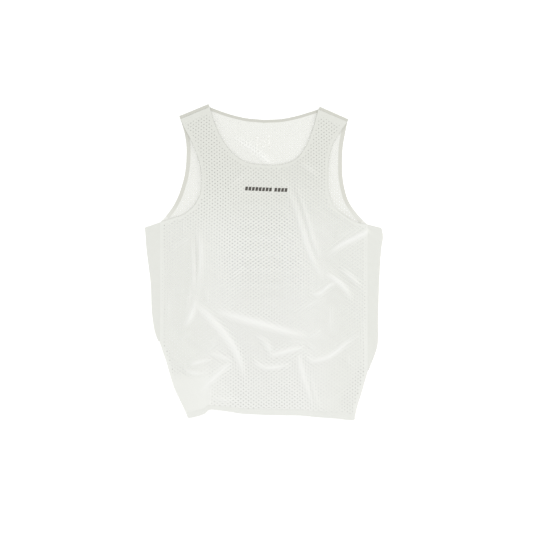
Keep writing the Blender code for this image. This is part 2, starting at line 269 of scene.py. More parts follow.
# %% The creases of the front
CREASES = table(
    "x0 y0 x1 y1 bow sway peak width lean height",
    # from the neck down to the right flank, as two ridges with a trough between them
    (22, 196, 134, -53, 1.5, 6.5, 0.60, 8, 0, 2.6),
    (62, 172, 117, 2, 1.5, 1, 0.60, 6, 0, 2.6),
    (60, 160, 118, -26, 3.5, 1, 0.50, 4, 0, -0.9),
    (80, 173, 104, 158, 0, 0, 0.50, 4, 0, 1.0),
    # the right armpit
    (222, 66, 126, 6, -5.5, 1.5, 0.30, 7, 0.2, 5.6),
    (150, 45, 198, 69, 2, 0, 0.50, 5, 0, 1.6),
    (126, -25, 186, -88, 10, 0, 0.40, 6, 0, 4.3),
    (158, -14, 205, -56, 3, 0, 0.50, 5, 0, 3.2),
    (158, -47, 96, -68, 0.3, -5, 0.55, 6, 0.2, 4.6),
    # the left flank
    (-142, 73, -142, -66, 6.5, 1, 0.50, 7, 0.3, 3.0),
    (-148, 62, -140, -52, 3, 0, 0.50, 4, 0, -1.3),
    (-151, 55, -148, -70, 1, 0, 0.55, 5, 0, 2.6),
    (-200, 27, -150, 57, 0, 0, 0.50, 5, 0, 1.2),
    (-172, 88, -168, 56, 0, 0, 0.50, 6, 0, 1.2),
    (-202, -57, -203, -135, 0, 0, 0.50, 8, 0, 1.4),
    (-144, -66, -168, -139, 6, 0, 0.60, 7.5, 0, 3.8),
    (-153, -38, -169, -119, 3, 0, 0.50, 5, 0, 1.7),
    (-128, -52, -116, -92, 2, 0, 0.50, 6, 0, 1.2),
    (-179, -165, -155, -147, 0, 0, 0.50, 5, 0, 1.4),
    # the two long ones over the belly
    (-150, -85, -39, -262, 21.5, -2, 0.42, 7, -0.15, 5.2),
    (-108, -102, 102, -162, -1.5, 0, 0.45, 9, 0, 5.2),
    (92, -163, 122, -144, 0, 0, 0.40, 6, 0, 1.7),
    (50, -169, 108, -188, 8, -1, 0.50, 3.5, 0, 1.5),
    (-27, -152, 15, -198, 9, 0, 0.70, 6, 0, 3.0),
    (8, -200, 88, -179, 0, 0, 0.45, 7, 0, 4.6),
    (-26, -206, 58, -215, -14, -2, 0.45, 6, 0, 4.4),
    # the right flank, low down
    (98, -211, 214, -150, -5.4, -4.7, 0.25, 7, 0, 5.0),
    (88, -197, 104, -214, 0, 0, 0.60, 6, 0, 2.6),
    (72, -196, 106, -316, -2, -1, 0.35, 7, 0, 3.4),
    (93, -243, 107, -308, 0, 0, 0.50, 3, 0, -0.7),
    (96, -240, 118, -318, 0, 0, 0.50, 5, 0, 1.7),
    (173, -196, 183, -221, 0, 0, 0.50, 5, 0, 1.4),
    (139, -90, 140, -158, 0, 0, 0.50, 12, 0, 1.7),
    (62, -108, 128, -76, 0, 0, 0.60, 6, 0, 1.6),
    (132, -294, 190, -257, 0, 0, 0.50, 9, 0, -1.4),
    # the left corner's fan and its pleat
    (-160, -219, -108, -205, 1, 0, 0.50, 5, 0, 4.2),
    (-118, -192, -62, -210, 0, 0, 0.50, 5, 0, 4.0),
    (-170, -223, -116, -231, -9, 0, 0.45, 5, 0, 3.6),
    (-66, -210, -137, -279, -2, 0, 0.50, 8, 0, 4.4),
    (-99, -156, -117, -192, 0, 0, 0.50, 5, 0, 1.8),
    (-114, -248, -117, -309, 0, 0, 0.60, 5, 0.6, 2.2),
    (-112, -287, -56, -296, 0, 0, 0.35, 4, 0, 2.2),
    # single faint ones
    (-80, 156, -27, 198, 0, 0, 0.50, 8, 0, 1.4),
    (-70, -33, -43, -12, 0, 0, 0.50, 5, 0, 1.5),
    (70, 212, 116, 180, 0, 0, 0.45, 7, 0, 2.4),
)


def ridge(x, y, x0, y0, x1, y1, bow, sway, peak, width, lean, height):
    """One crease's height at each point.

    Along the crease, t runs from 0 to 1 and the ridge swells as t^a·(1-t)^b, which is highest
    at its peak. Its line is bow·4t(1-t) + sway·sin 2πt to the left of the straight one. Lean
    makes one flank wider than the other."""
    length = math.hypot(x1 - x0, y1 - y0)
    t = np.clip(((x - x0) * (x1 - x0) + (y - y0) * (y1 - y0)) / length**2, 0, 1)
    aside = ((y - y0) * (x1 - x0) - (x - x0) * (y1 - y0)) / length
    aside = aside - bow * 4 * t * (1 - t) - sway * np.sin(2 * math.pi * t)
    a, b = 1.6 * peak, 1.6 * (1 - peak)
    swell = t**a * (1 - t) ** b / (peak**a * (1 - peak) ** b)
    q = aside / (width * np.where(aside > 0, 1 + lean, 1 - lean))
    return height * swell / (1 + q * q) ** 1.5


def crease_height(x, y):
    """All creases together. Where ridges meet, the cube root of the sum of their cubes rounds
    the join instead of stacking them. Troughs are taken off afterwards."""
    ridges = [ridge(x, y, *crease) for crease in zip(*CREASES.values())]
    up = np.cbrt(np.sum([np.clip(h, 0, None) ** 3 for h in ridges], axis=0))
    return up + np.sum([np.clip(h, None, 0) for h in ridges], axis=0)


print(len(CREASES["x0"]), "creases, the highest", CREASES["height"].max(), "mm")

# %% [markdown]
# ## The form of the layers
#
# Between its creases, laid cloth is never quite flat. A handful of long, low waves in seeded
# random directions gives it that slack. Both panels rise over the tucked corners.

# %% Waves, tucked corners and the two panels' heights
TUCK_LEFT = table("x y fold", (-219, -168, 1), (-187, -267, 1), (-159.5, -328, 1), (-110, -290, 0))
TUCK_RIGHT = table("x y fold", (189, -330, 1), (215, -240, 1), (203, -215, 0), (156, -303, 0))
TUCK_RAMP = (16.0, 46.0)


def waves(x, y, seed, count, shortest, longest):
    """A sum of sine waves whose directions, lengths and starts are drawn from one seed, scaled
    to stay between about -1 and 1."""
    draw = np.random.default_rng(seed)
    total = 0
    for _ in range(count):
        turn, start = draw.uniform(0, 2 * math.pi, 2)
        length = draw.uniform(shortest, longest)
        along = (x * math.cos(turn) + y * math.sin(turn)) * 2 * math.pi / length
        total = total + np.sin(along + start)
    return total / math.sqrt(2 * count)


def smooth_step(value):
    """0 up to 0, 1 from 1, and 3v² - 2v³ between."""
    value = np.clip(value, 0, 1)
    return value * value * (3 - 2 * value)


def outside(outline, x, y):
    """How far points are outside an outline that goes round to the left: the farthest that
    they are to the right of any side. It's negative inside."""
    ends = list(zip(outline["x"], outline["y"]))
    spans = []
    for (x0, y0), (x1, y1) in zip(ends, ends[1:] + ends[:1]):
        right = (y1 - y0) * (x - x0) - (x1 - x0) * (y - y0)
        spans.append(right / math.hypot(x1 - x0, y1 - y0))
    return np.max(spans, axis=0)


def tuck_rise(x, y):
    """How far both panels rise over the corners tucked under them."""
    near, far = TUCK_RAMP
    tucks = (TUCK_LEFT, TUCK_RIGHT)
    rise = [1 - smooth_step((outside(tuck, x, y) - near) / (far - near)) for tuck in tucks]
    return TUCK_RISE * np.max(rise, axis=0)


def back_crease(x, y):
    """The one crease of the back panel that shows, inside the neck."""
    return ridge(x, y, -68, 266, 15, 208, 2, 0, 0.60, 5, 0, 4.2)


def back_top(x, y):
    """The back panel's inside, which faces up: flat on the surface, with its crease."""
    slack = 0.12 * (1 + waves(x, y, 3, 6, 50, 130))
    return BACK_LEVEL + tuck_rise(x, y) + slack + back_crease(x, y)


def front_top(x, y):
    """The front panel's upper side: its level, its slack and its creases."""
    slack = 0.45 * waves(x, y, 7, 9, 55, 150) + 0.18 * waves(x, y, 11, 12, 16, 34)
    return FRONT_LEVEL + tuck_rise(x, y) + slack + crease_height(x, y)


sample = front_halves[0]
print("front height, mm:", front_top(sample[..., 0], sample[..., 1]).min().round(2), "to",
      front_top(sample[..., 0], sample[..., 1]).max().round(2))

# %% [markdown]
# ## From grids to meshes
#
# A cloth piece is one or more grids that share edges. Points in the same place are made one
# with np.unique, so no merge by distance is needed later. Each piece carries its own flat
# cloth coordinates as a UV map, in metres, so the holes keep their pitch all over.

# %% Build one mesh from grids


def wander(x, y):
    """The cloth's own coordinates: the plan, pulled about by up to 2 mm as handled mesh is."""
    return x + 1.3 * waves(x, y, 21, 5, 90, 220), y + 1.3 * waves(x, y, 22, 5, 90, 220)


def make_cloth(name, grids, wall, **fields):
    """A mesh from grids of points in millimetres, with a wall below its upper side. fields are
    functions of the plan x and y, stored at each point."""
    points, faces, first = [], [], 0
    for grid in grids:
        rows, across = grid.shape[:2]
        number = np.arange(rows * across).reshape(rows, across) + first
        quads = [number[:-1, :-1], number[:-1, 1:], number[1:, 1:], number[1:, :-1]]
        faces.append(np.stack(quads, -1).reshape(-1, 4))
        points.append(grid.reshape(-1, 3))
        first += rows * across
    points, faces = np.vstack(points), np.vstack(faces)
    _, kept, which = np.unique(points.round(4), axis=0, return_index=True, return_inverse=True)
    points, faces = points[kept], which.reshape(-1)[faces]
    mesh = bpy.data.meshes.new(name)
    mesh.from_pydata(points * MM, [], faces)
    mesh.shade_smooth()
    edge_of_corner = np.empty(len(mesh.loops), np.int32)
    mesh.loops.foreach_get("edge_index", edge_of_corner)
    rim = np.bincount(edge_of_corner, minlength=len(mesh.edges)) == 1
    mesh.attributes.new("sharp_edge", "BOOLEAN", "EDGE").data.foreach_set("value", rim)
    x, y = points[:, 0], points[:, 1]
    flat = np.column_stack(wander(x, y))[faces.ravel()] * MM
    mesh.uv_layers.new(name="cloth").data.foreach_set("uv", flat.astype(np.float32).ravel())
    for field, value in fields.items():
        store = mesh.attributes.new(field, "FLOAT", "POINT")
        store.data.foreach_set("value", value(x, y).astype(np.float32))
    piece = bpy.data.objects.new(name, mesh)
    bpy.context.scene.collection.objects.link(piece)
    solid = piece.modifiers.new("wall", "SOLIDIFY")
    solid.thickness = wall * MM
    solid.offset = -1
    print(name, len(points), "points,", len(faces), "faces")
    return piece


def raised(grid, top):
    """A plan grid lifted to a height function."""
    return np.dstack([grid, top(grid[..., 0], grid[..., 1])])


# %% [markdown]
# ## Where the mesh is open
#
# The knitting machine leaves the holes out along the edges and under the shoulder tapes, where
# a second layer is bonded on. They are widest over the middle, and they close up on a crest,
# where the cloth is pulled over an edge.

# %% How open the holes are, where the crests with their painted highlight and the show-through are, and the mask of the painted shade under the front


def border(grids):
    """Points along the outer edge of some grids: every edge point that no other grid shares."""
    rims = [np.vstack([g[0], g[-1], g[:, 0], g[:, -1]]) for g in grids]
    own = np.vstack([np.unique(rim.round(3), axis=0) for rim in rims])
    shared, times = np.unique(own, axis=0, return_counts=True)
    return shared[times == 1]


front_edge = border(front_halves + front_straps)
back_edge = border(back_grids)
SHOULDERS = table("x0 y0 x1 y1", (-178.5, 307, -117, 332.5), (118, 327.2, 178.5, 300.5))


def distance(edge, x, y):
    """How far each point is from the nearest point of an edge."""
    out = np.empty(x.shape, np.float32)
    for part in np.array_split(np.arange(x.size), 20):
        gap = np.hypot(x[part, None] - edge[:, 0], y[part, None] - edge[:, 1])
        out[part] = gap.min(axis=1)
    return out


def below_shoulder(x, y):
    """How far a point is below the nearer shoulder line."""
    depths = []
    for x0, y0, x1, y1 in zip(*SHOULDERS.values()):
        depth = ((x - x0) * (y1 - y0) - (y - y0) * (x1 - x0)) / math.hypot(x1 - x0, y1 - y0)
        depths.append(np.where(x * x0 > 0, depth, 1e3))
    return np.min(depths, axis=0)


def front_holes(x, y):
    """1 where the front's holes are widest, 0 where there are none."""
    edge = smooth_step((distance(front_edge, x, y) - 3.5) / 4)
    shoulder = smooth_step((below_shoulder(x, y) - 15) / 8)
    middle = np.exp(-((x / 95) ** 4))
    chest = smooth_step((y - 60) / 90)
    corner = 1 - smooth_step((-x - 112) / 10) * smooth_step((-y - 232) / 20)
    crest = 1 - 0.7 * smooth_step(crease_height(x, y) / 4.5)
    strap_share = smooth_step((y - 190) / 60)
    open_share = 0.75 + 0.25 * middle * (1 - chest) + 0.10 * chest - 0.05 * strap_share
    return edge * shoulder * corner * crest * open_share


def back_holes(x, y):
    """The same for the back, whose holes are alike all over."""
    edge = smooth_step((distance(back_edge, x, y) - 7) / 4)
    return edge * smooth_step((below_shoulder(x, y) - 15) / 8)


def under_front_shade_mask(x, y):
    """1 where the front lies over the back, and 0 in the neck and the armholes: how far a point
    is inside the front's left, right and upper edges, whichever is nearest. It masks the
    painted shade on the back's inside."""
    left = np.vstack([front_halves[0][:, 0], front_straps[0][1:, 0]])
    right = np.vstack([front_halves[1][:, -1], front_straps[1][1:, -1]])
    neck = np.vstack([front_straps[0][::-1, -1], front_straps[1][1:, 0]])
    past_left = x - np.interp(y, left[:, 1], left[:, 0])
    past_right = np.interp(y, right[:, 1], right[:, 0]) - x
    below = np.interp(x, neck[:, 0], neck[:, 1]) - y
    return smooth_step((np.minimum(np.minimum(past_left, past_right), below) - 2) / 5)


def crest(x, y):
    """1 on a high crest, and 0 on flat cloth. The panels' finish paints a highlight there."""
    return smooth_step(crease_height(x, y) / 5)


BLOCK_X, BLOCK_HALF_WIDTH = -3.0, 46.0
BLOCK_FOOT, BLOCK_PITCH = -84.0, 33.0
SHOW_THROUGH = 0.07


def ghost(x, y):
    """Where the large print on the back shows through the front: tall blocks, one above the
    other, blurred by the cloth. On the back, the mask of the same name holds painted shade."""
    across = smooth_step((BLOCK_HALF_WIDTH - np.abs(x - BLOCK_X)) / 4)
    along = np.abs((y - BLOCK_FOOT) % BLOCK_PITCH - BLOCK_PITCH / 2)
    ends = smooth_step((y - BLOCK_FOOT) / 4) * smooth_step((150 - y) / 4)
    return SHOW_THROUGH * across * ends * smooth_step((12.5 - along) / 3)


print("front edge points:", len(front_edge), "back edge points:", len(back_edge))

# %% [markdown]
# ## The two panels and the hem band
#
# The hem band is its own piece, cut from the front's lowest 13 mm. It is doubled cloth, so
# it is thicker than the panel above it and has no open holes.

# %% Front, back and hem band
root = "root"
# The front's crest mask carries a painted highlight.
front = make_cloth(
    "front_mesh",
    [raised(half[FINE:], front_top) for half in front_halves]
    + [raised(grid, front_top) for grid in front_straps],
    CLOTH, holes=front_holes, crest=crest, ghost=ghost,
)
# The back's crest mask carries a painted highlight, and its show-through mask is the painted shade under
# the front.
back = make_cloth(
    "back_mesh", [raised(grid, back_top) for grid in back_grids],
    CLOTH, holes=back_holes, crest=lambda x, y: smooth_step(back_crease(x, y) / 3), ghost=under_front_shade_mask,
)


BAND_GAP = 0.06


def band_rows(half):
    """The hem band's rows, a hair below the panel's first row."""
    down = half[FINE] - half[FINE - 1]
    down *= BAND_GAP / np.linalg.norm(down, axis=1, keepdims=True)
    return np.concatenate([half[:FINE], (half[FINE] - down)[None]])


band = make_cloth("hem_fold", [raised(band_rows(half), front_top) for half in front_halves], HEM_WALL)

# %% [markdown]
# ## Pieces that turn under
#
# The side strips, the shoulder tapes and the tucked corners all do the same: they come in on
# top, bend round a fold and lie back underneath. One function makes them: a straight run,
# half an oval and another straight run, carried along the fold.

# %% Turn cloth round a fold


def turned_under(fold, inward, reach_top, reach_low, top, low):
    """Cloth turned under along a fold.

    fold has the points of the fold, inward the unit steps from it into the garment. The upper
    side starts reach_top in from the fold at the height that top gives, and ends reach_low in
    at the height low. The bend is half an oval, (d·(1 - sin a), z·cos a), as deep as it is
    half high, but never deeper than most of the reach."""
    reach_top, reach_low = reach_top[:, None], reach_low[:, None]
    run = np.linspace(1, 0, 9)[None, :-1]
    turn = np.linspace(0, math.pi, 13)[None]
    edge_height = top(fold[:, 0], fold[:, 1])[:, None]
    deep = np.minimum((edge_height - low) / 2, 0.7 * np.minimum(reach_top, reach_low))
    depth_top = deep + (reach_top - deep) * run
    depth_low = deep + (reach_low - deep) * run[:, ::-1]
    x, y = (fold[:, None] + inward[:, None] * depth_top[..., None]).transpose(2, 0, 1)
    centre, half = (edge_height + low) / 2, (edge_height - low) / 2
    rise_top = top(x, y) + (edge_height - top(x, y)) * (1 - run) ** 2
    depth = np.hstack([depth_top, deep * (1 - np.sin(turn)), depth_low])
    rise = np.hstack([rise_top, centre + half * np.cos(turn), low + 0 * depth_low])
    return np.dstack([fold[:, None] + inward[:, None] * depth[..., None], rise])


def facing_up(section):
    """The section with its rows in the order that makes its first faces look up."""
    along, over = section[1, 0] - section[0, 0], section[0, 1] - section[0, 0]
    return section if over[0] * along[1] - over[1] * along[0] > 0 else section[::-1]


# %% The side strips
STRIP_LEFT = table(
    "seam_y fold_x fold_y rows",
    (-167.6, -222.6, -168, 1),  # beside the tucked corner
    (-165, -224, -165, 1),
    (-152, -229, -152, 2),
    (-120, -234.8, -120, 3),
    (-44, -239.2, -44, 3),
    (27, -247.8, 27, 2),
    (83, -251.2, 72, 0),
)
STRIP_RIGHT = table(
    "seam_y fold_x fold_y rows",
    (-229.6, 221.4, -229.2, 1),  # beside the tucked corner
    (-226, 223.4, -223.5, 1),
    (-212, 228, -212, 2),
    (-184, 238.2, -184, 3),
    (-116, 241.2, -116, 3),
    (-44, 243.5, -44, 3),
    (27, 248, 27, 2),
    (62, 251.4, 56, 1),
    (78.5, 248.5, 71, 0),
)


def make_strip(name, levels, side):
    """A strip from the front's side seam, round the garment's side, to the back's side seam."""
    steps, sharp = levels["rows"][:-1] * 8, 0 * levels["rows"]
    fold = smooth_path(columns(levels, "fold_x", "fold_y"), steps, sharp)
    seam = np.column_stack([0 * sharp + side * (SEAM_X + SEAM_GAP), levels["seam_y"]])
    inward = smooth_path(seam, steps, sharp) - fold
    reach = np.linalg.norm(inward, axis=1)
    section = turned_under(fold, inward / reach[:, None], reach, reach, front_top, 0)
    return make_cloth(name, [facing_up(section)], CLOTH), fold, reach


made = [make_strip("strip_left", STRIP_LEFT, -1), make_strip("strip_right", STRIP_RIGHT, 1)]
strips = [piece for piece, fold, reach in made]
strip_folds = [(fold, reach) for piece, fold, reach in made]

# %% The shoulder tapes
SHOULDER_REACH = 6.2


def make_shoulder(name, x0, y0, x1, y1):
    """A tape folded over the top of a shoulder, from end to end of its line."""
    t = np.linspace(0, 1, 31)[:, None]
    fold = np.array([[x0, y0]]) * (1 - t) + np.array([[x1, y1]]) * t
    step = fold[-1] - fold[0]
    inward = np.array([[step[1], -step[0]]]) / np.linalg.norm(step) + 0 * fold
    reach = SHOULDER_REACH + 0 * t[:, 0]
    section = turned_under(fold, inward, reach, reach, lambda x, y: front_top(x, y) + AIR, 0)
    return make_cloth(name, [facing_up(section)], TAPE), fold, reach


made = [
    make_shoulder(name, *line)
    for name, line in zip(("shoulder_left", "shoulder_right"), zip(*SHOULDERS.values()))
]
shoulders = [piece for piece, fold, reach in made]
shoulder_folds = [(fold, reach) for piece, fold, reach in made]

# %% The tapes inside the back
ARMHOLE_TAPE, NECK_TAPE = 8, 6  # widths


def tape_top(x, y):
    """The upper side of a tape bonded to the back."""
    return back_top(x, y) + TAPE + 0.02


def beside(edge, width):
    """A strip of plan points from width to the left of an edge to the edge itself."""
    along = np.gradient(edge, axis=0)
    along /= np.linalg.norm(along, axis=1, keepdims=True)
    left = np.column_stack([-along[:, 1], along[:, 0]])
    return between(edge + left * width, edge, np.linspace(0, 1, 5))


first = int(BACK_BODY["rows"][:7].sum()) * FINE  # the CAD's first row above the underarm
lower_left, lower_right, upper_left, upper_right = back_grids
arm_left = np.vstack([lower_left[first:, 0], upper_left[1:, 0]])
arm_right = np.vstack([lower_right[first:, -1], upper_right[1:, -1]])
neck_line = np.vstack([upper_right[::-1, 0], upper_left[1:, -1]])
tapes = [
    make_cloth("arm_tape_left", [raised(beside(arm_left[::-1], ARMHOLE_TAPE), tape_top)], TAPE),
    make_cloth("arm_tape_right", [raised(beside(arm_right, ARMHOLE_TAPE), tape_top)], TAPE),
    make_cloth("neck_binding", [raised(beside(neck_line, NECK_TAPE), tape_top)], TAPE),
]

# %% The tucked corners
FOLD_STANDS_OUT = 1.2
LAP = 3.4  # how far the turned cloth reaches back under the panel
INNER_BEHIND = 1.2  # from the outer layer's fold to the inner one's


def along_line(points, shares):
    """Points at the given shares of a line's whole length."""
    length = np.append(0, np.cumsum(np.linalg.norm(np.diff(points, axis=0), axis=1)))
    return np.column_stack([np.interp(shares * length[-1], length, part) for part in points.T])


def make_tuck(name, edge, outline):
    """A corner tucked under. edge is the panel's edge along the fold, and outline the corner's
    own, with the fold's corners first. Cross-sections run from the fold to the cut edges, each
    at the same share of both lines."""
    corners = columns(outline, "x", "y")
    folded = outline["fold"] > 0
    fold_corners, cut_corners = corners[folded], corners[~folded]
    if np.linalg.norm(edge[0] - fold_corners[0]) > np.linalg.norm(edge[-1] - fold_corners[0]):
        edge = edge[::-1]
    cut_line = np.vstack([edge[:1], cut_corners[::-1], edge[-1:]])
    shares = np.linspace(0.01, 0.99, 70)
    fold, cut = along_line(edge, shares), along_line(cut_line, shares)
    reach = np.linalg.norm(cut - fold, axis=1)
    inward = (cut - fold) / reach[:, None]
    fold = fold - inward * FOLD_STANDS_OUT
    lap = np.minimum(LAP, 0.5 * reach)
    outer = turned_under(fold, inward, lap, reach, lambda x, y: front_top(x, y) - CLOTH - AIR, 0)
    inner_fold = fold + inward * INNER_BEHIND
    inner = turned_under(inner_fold, inward, 0.4 * lap, 0.93 * reach, back_top, CLOTH + AIR)

    def holes(x, y):
        return 0.8 * smooth_step((distance(fold, x, y) - 5) / 4)

    plain = dict(crest=lambda x, y: 0 * x, ghost=lambda x, y: 0 * x)
    layers = [facing_up(outer), facing_up(inner)]
    piece = make_cloth(name, layers, CLOTH, holes=holes, **plain)
    step = np.linalg.norm(np.gradient(fold, axis=0), axis=1)
    cut_area = float(((lap + reach + 0.4 * lap + 0.93 * reach) * step).sum())
    return piece, (step.sum(), 2 * reach.max() + LAP, cut_area)


left_rows, right_rows = (int(FRONT_BODY["rows"][:count].sum()) * FINE + 1 for count in (4, 3))
tuck_left, cut_tuck_left = make_tuck("tuck_left", front_halves[0][:left_rows, 0], TUCK_LEFT)
tuck_right, cut_tuck_right = make_tuck("tuck_right", front_halves[1][:right_rows, -1], TUCK_RIGHT)
tucks = [tuck_left, tuck_right]

# %% [markdown]
# ## Prints
#
# The chest carries a small dark print, and the inside of the neck a pale one. Both are
# generic motifs here: slanted bars, and a ring between two upright bars. They are films of ink a tenth
# of a millimetre thick that follow the cloth below them.

# %% The chest print and the neck print


def make_print(name, shapes, top):
    """A film of ink over the cloth: small grids, laid on the height that top gives."""
    return make_cloth(name, [raised(shape, lambda x, y: top(x, y) + INK + 0.02) for shape in shapes], INK)


def bar(x, y, width, height, slant, across=3, up=5):
    """A slanted bar from its lower left corner, as a grid of plan points."""
    u, v = np.meshgrid(np.linspace(0, 1, across), np.linspace(0, 1, up))
    return np.dstack([x + u * width + v * slant, y + v * height])


def ring(x, y, inner, outer):
    """A ring round x, y as a grid: radius by angle."""
    radius, turn = np.meshgrid([outer, inner], np.linspace(0, 2 * math.pi, 33))
    return np.dstack([x + radius * np.cos(turn), y + radius * np.sin(turn)])


BARS, BAR_PITCH, BAR_WIDTH, BAR_HEIGHT, BAR_SLANT = 12, 7.2, 5.4, 7.8, 1.4
number = np.arange(BARS)
lefts = -40 + BAR_PITCH * number + 4 * (number > 7)  # a gap after the eighth
sag = 148.7 - 0.04 * lefts + 0.00013 * lefts * lefts
bars = [bar(x, y, BAR_WIDTH, BAR_HEIGHT, BAR_SLANT) for x, y in zip(lefts, sag)]
chest_print = make_print("chest_print", bars, front_top)
neck_marks = [ring(-2, 249, 4.5, 8), bar(-16, 232, 3.5, 35, 0, 2, 15), bar(9, 232, 3.5, 35, 0, 2, 15)]
neck_print = make_print("neck_print", neck_marks, back_top)

# %% [markdown]
# ## Writing shaders as sums
#
# A node tree is easier to read as arithmetic. Signal wraps one output socket, so that
# `1 - mask` or `a * b` adds the Math nodes. Every other node comes from Board.add.

# %% A socket that does sums, and a board to build nodes on


class Signal:
    """A number that varies over the surface."""

    def __init__(self, board, socket):
        self.board, self.socket = board, socket

    def maths(self, operation, *values):
        return self.board.add("ShaderNodeMath", {"operation": operation}, dict(enumerate(values)))

    def of(self, operation):
        """A function of this number alone, such as its sine."""
        return self.maths(operation, self)

    def __add__(self, other):
        return self.maths("ADD", self, other)

    def __sub__(self, other):
        return self.maths("SUBTRACT", self, other)

    def __rsub__(self, other):
        return self.maths("SUBTRACT", other, self)

    def __mul__(self, other):
        return self.maths("MULTIPLY", self, other)

    def __truediv__(self, other):
        return self.maths("DIVIDE", self, other)

    def __pow__(self, other):
        return self.maths("POWER", self, other)

    __radd__, __rmul__ = __add__, __mul__


class Board:
    """A material's node tree."""

    def __init__(self, name):
        self.material = bpy.data.materials.new(name)
        self.material.use_nodes = True
        self.tree = self.material.node_tree
        self.tree.nodes.clear()

    def add(self, kind, settings=None, sockets=None, output=0):
        """A node of that kind: its settings, then its sockets' values or links."""
        node = self.tree.nodes.new(kind)
        for name, value in (settings or {}).items():
            setattr(node, name, value)
        for name, value in (sockets or {}).items():
            if isinstance(value, Signal):
                self.tree.links.new(value.socket, node.inputs[name])
            else:
                node.inputs[name].default_value = value
        return Signal(self, node.outputs[output])

    def attribute(self, name):
        """A number stored at the mesh's points."""
        return self.add("ShaderNodeAttribute", {"attribute_name": name}, output="Fac")

    def noise(self, place, scale, detail=2.0):
        """Smooth noise from 0 to 1."""
        return self.add("ShaderNodeTexNoise", {}, {"Vector": place, "Scale": scale, "Detail": detail})

    def step(self, value, low, high):
        """0 below low, 1 above high, and a smooth rise between."""
        settings = {"interpolation_type": "SMOOTHSTEP"}
        return self.add("ShaderNodeMapRange", settings, {0: value, 1: low, 2: high})

    def blend(self, share, colour, other):
        """One colour turning into another."""
        return self.add("ShaderNodeMix", {"data_type": "RGBA"}, {0: share, 6: colour, 7: other}, 2)

    def finish(self, **sockets):
        """The Principled shader and the output."""
        values = {name.replace("_", " "): value for name, value in sockets.items()}
        shader = self.add("ShaderNodeBsdfPrincipled", {}, values)
        self.add_output(shader)
        return self.material

    def add_output(self, shader):
        """Connects the shader to the material's output."""
        output = self.tree.nodes.new("ShaderNodeOutputMaterial")
        self.tree.links.new(shader.socket, output.inputs["Surface"])


# %% [markdown]
# ## The perforated mesh
#
# The holes stand in columns 5.5 mm apart, every second column shifted by half of the 7.7 mm
# between its holes. That is two plain lattices, one in the middle of the other, so the
# distance to the nearest hole is the smaller of two distances to a cell's middle. The
# alpha opens there, and the rim of each hole is pressed down a little and painted darker:
# painted shade round each hole.
#
# The knit itself is too fine to see from here. It is a bump of wales and courses.

# %% Perforated mesh and plain knit
HOLE_ACROSS, HOLE_UP, HOLE_RADIUS = 11.0, 7.7, 1.25
WALE, COURSE = 0.9, 0.72
WHITE = (0.815, 0.825, 0.78, 1)
INSIDE_WHITE = (0.87, 0.875, 0.83, 1)
# Painted highlight tones for the crests. The outer one also lightens the front towards the hem.
INSIDE_CREST_HIGHLIGHT = (0.97, 0.975, 0.94, 1)
HIGHLIGHT_AND_HEM_WHITE = (0.90, 0.905, 0.875, 1)
# A grey for the painted shade round the holes, and for random mottle, worn ink, the print showing through
# and the greyer straps.
SHADE = (0.66, 0.665, 0.60, 1)
# Painted shade on the back's inside where the front lies over it.
PAINTED_SHADE_UNDER_FRONT = (0.52, 0.525, 0.475, 1)
BACK_INK = (0.42, 0.42, 0.39, 1)
TAPE_GRAIN = (0.52, 0.52, 0.46, 1)


def cloth_place(board):
    """The cloth's own coordinates, in millimetres: both numbers, and the vector in metres."""
    uv = board.add("ShaderNodeUVMap", {"uv_map": "cloth"})
    split = board.add("ShaderNodeSeparateXYZ", {}, {0: uv})
    x = Signal(board, split.socket.node.outputs[0])
    y = Signal(board, split.socket.node.outputs[1])
    return x / MM, y / MM, uv


def hole_distance(x, y):
    """Millimetres to the middle of the nearest hole of the staggered lattice."""

    def lattice(shift):
        cell_x = (x / HOLE_ACROSS + shift).of("FRACT") - 0.5
        cell_y = (y / HOLE_UP + shift).of("FRACT") - 0.5
        return ((cell_x * HOLE_ACROSS) ** 2.0 + (cell_y * HOLE_UP) ** 2.0) ** 0.5

    one, other = lattice(0.0), lattice(0.5)
    return one.maths("MINIMUM", one, other)


def knit_bump(board, x, y, strength, extra=None):
    """A bump of ribs along the cloth, broken up by shorter ribs across it."""
    rib = (x * (2 * math.pi / WALE)).of("SINE")
    course = (y * (2 * math.pi / COURSE)).of("SINE")
    height = rib * 0.6 + course * 0.4
    if extra is not None:
        height = height * 0.4 + extra
    sockets = {"Strength": strength, "Distance": 0.00012, "Height": height}
    return board.add("ShaderNodeBump", {}, sockets)


